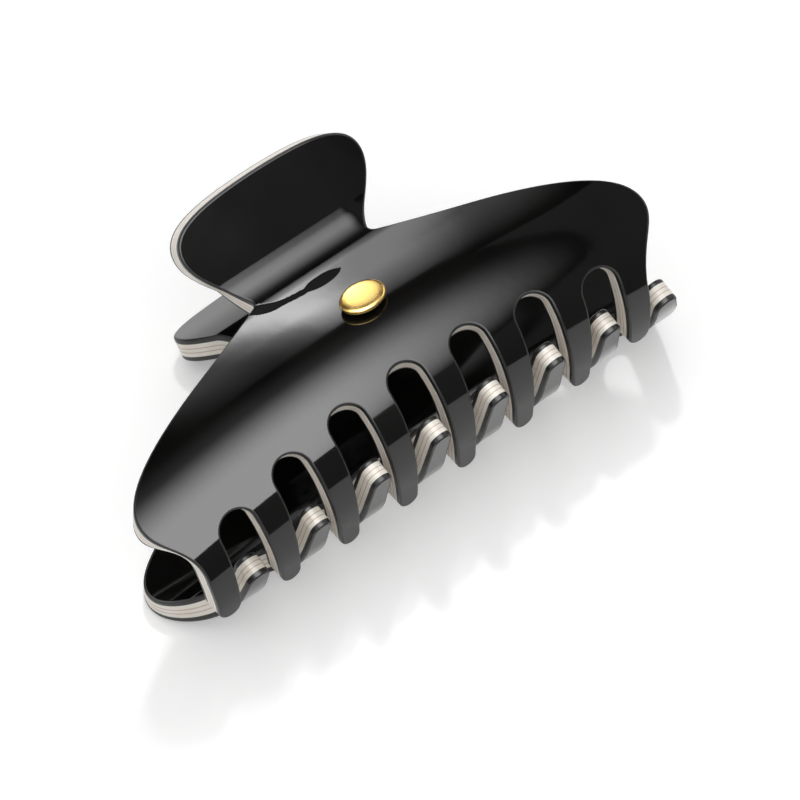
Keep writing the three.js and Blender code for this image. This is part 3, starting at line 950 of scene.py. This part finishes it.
# Cards. Pairs are two sides of a card, or the places between which its light changes.
CARD_HEIGHT = 0.8
OVERHEAD_SIDES = (-0.75, 0.47)
OVERHEAD_ENDS = (-0.86, 0.8)
OVERHEAD_LEFT_SHARES = (-0.9, -0.5)
OVERHEAD_RIGHT_SHARES = (0.18, 0.58)
OVERHEAD_MAIN_SHARES = (0, 0.62)
OVERHEAD_TAIL_SHARES = (0.4, 1)
OVERHEAD_LEVEL = 6.5
OVERHEAD_TAIL_LEVEL = 0.5
BACK_DISTANCE = 0.8
BACK_WIDTH = 0.7
BACK_HEIGHT = 1
BACK_LEAN = 0.25
BACK_LEAN_HEIGHT = 0.38
BACK_BOTTOM_HEIGHTS = (0.2, 0.3)
BACK_TOP_HEIGHTS = (0.42, 0.93)
PANEL_DISTANCE = 1.1
PANEL_BOTTOM_HEIGHTS = (0.25, 0.5)
PANEL_TOP_HEIGHTS = (0.7, 1.05)
PANEL_LEVEL = 2.2
WALL_DISTANCE = 1.6
WALL_HEIGHTS = (-0.3, 2.2)
WALL_CORNERS = ((-1, -1), (1, -1), (1, 1), (-1, 1))
WALL_LIGHT_HEIGHTS = (-4, 2)
WALL_LEVEL = 0.18
HORIZON_HEIGHTS = (0, 0.4)
HORIZON_BACK = (1.4, 1.5)
HORIZON_LEFT = (0.1, 0.4)
HORIZON_RIGHT = (0.8, 1.1)
HORIZON_LEVEL = 0.2

# Bands of the back card: level, where it starts and is full, and where it falls and ends
BACK_BANDS = (
    (0.7, (0.04, 0.14), (0.44, 0.56)),
    (2.6, (0.165, 0.25), (0.33, 0.43)),
    (7, (0.21, 0.25), (0.25, 0.31)),
)

# Lamps for the matt colours, with white as a level of 1. The key lamp's place gives its shadow the shape of
# the mirror image that the table in the photograph shows.
LAMPS = {
    "overhead_lamp": {
        "place": (-0.2, -0.2, CARD_HEIGHT),
        "aim": (-0.2, -0.2, 0),
        "size": (1.1, 1.3),
        "level": 1,
    },
    "back_lamp": {"place": (0.25, 0.8, 0.4), "aim": (0, 0, 0.02), "size": (0.3, 0.6), "level": 0.5},
    "key_lamp": {"place": (0.3, 0.384, 0.82), "aim": (0, 0, 0.01), "size": (0.06, 0.06), "level": 165},
}

# Camera, as it was solved from the photograph. Lens and sensor are in millimetres, shifts in image widths.
CAMERA_PLACE = (-0.3218, -0.42858, 0.8815)
CAMERA_RIGHT = (0.78857, -0.61495, 0)
CAMERA_UP = (0.5252, 0.6735, 0.5201)
CAMERA_FORWARD = (0.31988, 0.41018, -0.85407)
CAMERA_LENS = 277.9
CAMERA_SENSOR = 36
CAMERA_SHIFT = (-0.0029, -0.0026)
CAMERA_CLIP_END = 20


def seen_directly(tree):
    """1 for rays of the camera, of reflections and of clear materials, else 0."""
    rays = tree.nodes.new("ShaderNodeLightPath")
    seen = rays.outputs["Is Camera Ray"]
    for kind in ("Is Glossy Ray", "Is Transmission Ray"):
        either = tree.nodes.new("ShaderNodeMath")
        either.operation = "MAXIMUM"
        tree.links.new(seen, either.inputs[0])
        tree.links.new(rays.outputs[kind], either.inputs[1])
        seen = either.outputs[0]
    return seen


def calculated(tree, operation, first, second):
    """Result of a Math node on a socket and a socket or number."""
    node = tree.nodes.new("ShaderNodeMath")
    node.operation = operation
    tree.links.new(first, node.inputs[0])
    if isinstance(second, (int, float)):
        node.inputs[1].default_value = second
    else:
        tree.links.new(second, node.inputs[1])
    return node.outputs[0]


def faded(tree, value, start, end, rising=True):
    """0 to 1 as the value goes from start to end, or 1 to 0."""
    node = tree.nodes.new("ShaderNodeMapRange")
    node.interpolation_type = "SMOOTHSTEP"
    node.inputs["From Min"].default_value = start
    node.inputs["From Max"].default_value = end
    node.inputs["To Min"].default_value = 0 if rising else 1
    node.inputs["To Max"].default_value = 1 if rising else 0
    tree.links.new(value, node.inputs["Value"])
    return node.outputs["Result"]


def build_floor():
    """Pale matt disc. Only the camera sees its faint sheen, and it looks white from everywhere."""
    material, tree, shader = new_material("white_floor")
    colour = blended(tree, noise(tree, FLOOR_FINENESS), FLOOR_DARK, FLOOR_LIGHT)
    tree.links.new(colour, shader.inputs["Base Color"])
    shader.inputs["Roughness"].default_value = 1
    shader.inputs["Specular IOR Level"].default_value = 0
    shader.inputs["Emission Color"].default_value = WHITE
    glow = calculated(tree, "MULTIPLY", seen_directly(tree), FLOOR_GLOW)
    tree.links.new(glow, shader.inputs["Emission Strength"])
    sheen = tree.nodes.new("ShaderNodeBsdfGlossy")
    sheen.inputs["Roughness"].default_value = FLOOR_SHEEN_ROUGHNESS
    rays = tree.nodes.new("ShaderNodeLightPath")
    share = calculated(tree, "MULTIPLY", rays.outputs["Is Camera Ray"], FLOOR_SHEEN)
    mix = tree.nodes.new("ShaderNodeMixShader")
    tree.links.new(share, mix.inputs["Fac"])
    tree.links.new(shader.outputs["BSDF"], mix.inputs[1])
    tree.links.new(sheen.outputs["BSDF"], mix.inputs[2])
    tree.links.new(mix.outputs["Shader"], tree.nodes["Material Output"].inputs["Surface"])
    rim = []
    for side in range(FLOOR_SIDES):
        angle = 2 * math.pi * side / FLOOR_SIDES
        rim.append((FLOOR_RADIUS * math.cos(angle), FLOOR_RADIUS * math.sin(angle), -FLOOR_DROP))
    new_object("floor", rim, [tuple(range(FLOOR_SIDES))], [material])


def add_card(name, corners, shine):
    """Surface that only reflections see. shine makes its brightness from its X, Y and Z in metres."""
    material, tree, shader = new_material(name)
    tree.nodes.remove(shader)
    place = tree.nodes.new("ShaderNodeNewGeometry")
    axes = tree.nodes.new("ShaderNodeSeparateXYZ")
    tree.links.new(place.outputs["Position"], axes.inputs["Vector"])
    light = tree.nodes.new("ShaderNodeEmission")
    tree.links.new(shine(tree, *axes.outputs), light.inputs["Strength"])
    tree.links.new(light.outputs["Emission"], tree.nodes["Material Output"].inputs["Surface"])
    faces = [tuple(range(start, start + 4)) for start in range(0, len(corners), 4)]
    card = new_object(name, corners, faces, [material])
    card.visible_camera = False
    card.visible_diffuse = False
    card.visible_shadow = False


def product(tree, *values):
    """All the values multiplied, from the left."""
    result = values[0]
    for value in values[1:]:
        result = calculated(tree, "MULTIPLY", result, value)
    return result


def of_height(shares):
    """Places given as shares of the overhead card's height."""
    return [share * CARD_HEIGHT for share in shares]


def overhead_shine(tree, x, y, _):
    """Even above the clip, soft at its sides, with a faint tail towards the back."""
    right = faded(tree, x, *of_height(OVERHEAD_RIGHT_SHARES), rising=False)
    left = faded(tree, x, *of_height(OVERHEAD_LEFT_SHARES))
    main = faded(tree, y, *of_height(OVERHEAD_MAIN_SHARES), rising=False)
    tail = faded(tree, y, *of_height(OVERHEAD_TAIL_SHARES), rising=False)
    main = product(tree, main, OVERHEAD_LEVEL)
    tail = product(tree, tail, OVERHEAD_TAIL_LEVEL)
    return product(tree, product(tree, right, left), calculated(tree, "ADD", main, tail))


def back_shine(tree, x, _, z):
    """Soft window at the back whose bright streak leans to the right with height."""
    lean = product(tree, calculated(tree, "SUBTRACT", z, BACK_LEAN_HEIGHT), BACK_LEAN)
    across = calculated(tree, "SUBTRACT", x, lean)
    total = 0
    for level, rise, fall in BACK_BANDS:
        band = product(tree, faded(tree, across, *rise), faded(tree, across, *fall, rising=False), level)
        total = calculated(tree, "ADD", band, total)
    bottom = faded(tree, z, *BACK_BOTTOM_HEIGHTS)
    return product(tree, total, bottom, faded(tree, z, *BACK_TOP_HEIGHTS, rising=False))


def panel_shine(tree, along, z, reach):
    """Soft panel, brightest in the middle of its length and height."""
    start = faded(tree, along, -reach, -reach / 2)
    end = faded(tree, along, reach / 2, reach, rising=False)
    low = faded(tree, z, *PANEL_BOTTOM_HEIGHTS)
    high = faded(tree, z, *PANEL_TOP_HEIGHTS, rising=False)
    return product(tree, product(tree, start, end), product(tree, low, high), PANEL_LEVEL)


def side_shine(tree, _, y, z):
    return panel_shine(tree, y, z, PANEL_DISTANCE)


def front_shine(tree, x, _, z):
    return panel_shine(tree, calculated(tree, "ADD", x, PANEL_DISTANCE / 2), z, PANEL_DISTANCE / 2)


def wall_shine(tree, x, y, z):
    """Nearly even dark grey, a little lighter upwards, and grey low down behind the clip."""
    even = product(tree, faded(tree, z, *WALL_LIGHT_HEIGHTS), WALL_LEVEL)
    low = product(tree, faded(tree, z, *HORIZON_HEIGHTS, rising=False), faded(tree, y, *HORIZON_BACK))
    middle = product(tree, faded(tree, x, *HORIZON_LEFT), faded(tree, x, *HORIZON_RIGHT, rising=False))
    return calculated(tree, "ADD", even, product(tree, low, middle, HORIZON_LEVEL))


def upright(start, end, low, high):
    """Corners of an upright rectangle between two places on the floor."""
    return [(*start, low), (*end, low), (*end, high), (*start, high)]


def build_cards():
    left, right = OVERHEAD_SIDES
    front, back = OVERHEAD_ENDS
    overhead = [(left, front), (left, back), (right, back), (right, front)]
    add_card("overhead_card", [(*corner, CARD_HEIGHT) for corner in overhead], overhead_shine)
    window = upright((0, BACK_DISTANCE), (BACK_WIDTH, BACK_DISTANCE), 0, BACK_HEIGHT)
    add_card("back_card", window, back_shine)
    away = PANEL_DISTANCE
    for name, x in (("left_card", -away), ("right_card", away)):
        add_card(name, upright((x, -away), (x, away), 0, away), side_shine)
    add_card("front_card", upright((-away, -away), (0, -away), 0, away), front_shine)
    corners = [(x * WALL_DISTANCE, y * WALL_DISTANCE) for x, y in WALL_CORNERS]
    walls = []
    for start, end in zip(corners, corners[1:] + corners[:1]):
        walls += upright(start, end, *WALL_HEIGHTS)
    for height in WALL_HEIGHTS:
        walls += [(*corner, height) for corner in corners]
    add_card("dark_studio_walls", walls, wall_shine)


def add_lamp(name, place, aim, size, level):
    light = bpy.data.lights.new(name, "AREA")
    light.shape = "RECTANGLE"
    light.size, light.size_y = size
    light.energy = level * math.pi * size[0] * size[1]
    lamp = bpy.data.objects.new(name, light)
    away = Vector(place) - Vector(aim)
    lamp.matrix_world = Matrix.Translation(place) @ away.to_track_quat("Z", "Y").to_matrix().to_4x4()
    lamp.visible_camera = False
    lamp.visible_glossy = False
    bpy.context.scene.collection.objects.link(lamp)


def build_world():
    """White where it is seen directly, dim for the light it gives."""
    world = bpy.data.worlds.new("studio")
    bpy.context.scene.world = world
    world.use_nodes = True
    tree = world.node_tree
    background = tree.nodes["Background"]
    level = tree.nodes.new("ShaderNodeMapRange")
    level.inputs["To Min"].default_value = AMBIENT_LEVEL
    level.inputs["To Max"].default_value = 1
    tree.links.new(seen_directly(tree), level.inputs["Value"])
    background.inputs["Color"].default_value = WHITE
    tree.links.new(level.outputs["Result"], background.inputs["Strength"])


def build_camera():
    camera = bpy.data.cameras.new("camera")
    camera.lens = CAMERA_LENS
    camera.sensor_width = CAMERA_SENSOR
    camera.shift_x, camera.shift_y = CAMERA_SHIFT
    camera.clip_end = CAMERA_CLIP_END
    eye = bpy.data.objects.new("camera", camera)
    axes = (Vector(CAMERA_RIGHT), Vector(CAMERA_UP), -Vector(CAMERA_FORWARD))
    eye.matrix_world = Matrix.Translation(CAMERA_PLACE) @ Matrix(axes).transposed().to_4x4()
    bpy.context.scene.collection.objects.link(eye)
    bpy.context.scene.camera = eye


def dress_plate(name, material):
    """Rounds the edges of a hinge plate and gives it its metal."""
    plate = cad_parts[name]
    plate.data.materials.clear()
    plate.data.materials.append(material)
    weld = plate.modifiers.new("weld", "WELD")
    weld.merge_threshold = PLATE_WELD * MM
    bevel = plate.modifiers.new("bevel", "BEVEL")
    bevel.width = PLATE_BEVEL * MM
    bevel.segments = PLATE_BEVEL_STEPS
    bevel.limit_method = "ANGLE"
    bevel.angle_limit = math.radians(PLATE_BEVEL_ANGLE)


surfaces = {name: surface(name, **look) for name, look in LOOKS.items()}
sheet_surfaces = [surfaces[name] for name in ("black", "black_edge", "ivory", "seam")]
for which_half in JAWS:
    build_jaw(which_half, sheet_surfaces)
    build_rivets(which_half, surfaces["plated_steel"])
    dress_plate(f"{which_half}_hinge_plate", surfaces["plated_steel"])
build_spring(surfaces["spring_steel"])
build_pin(surfaces["plated_steel"])
build_ornament(surfaces["gold"])
build_floor()
build_cards()
for lamp_name, lamp_values in LAMPS.items():
    add_lamp(lamp_name, **lamp_values)
build_world()
build_camera()
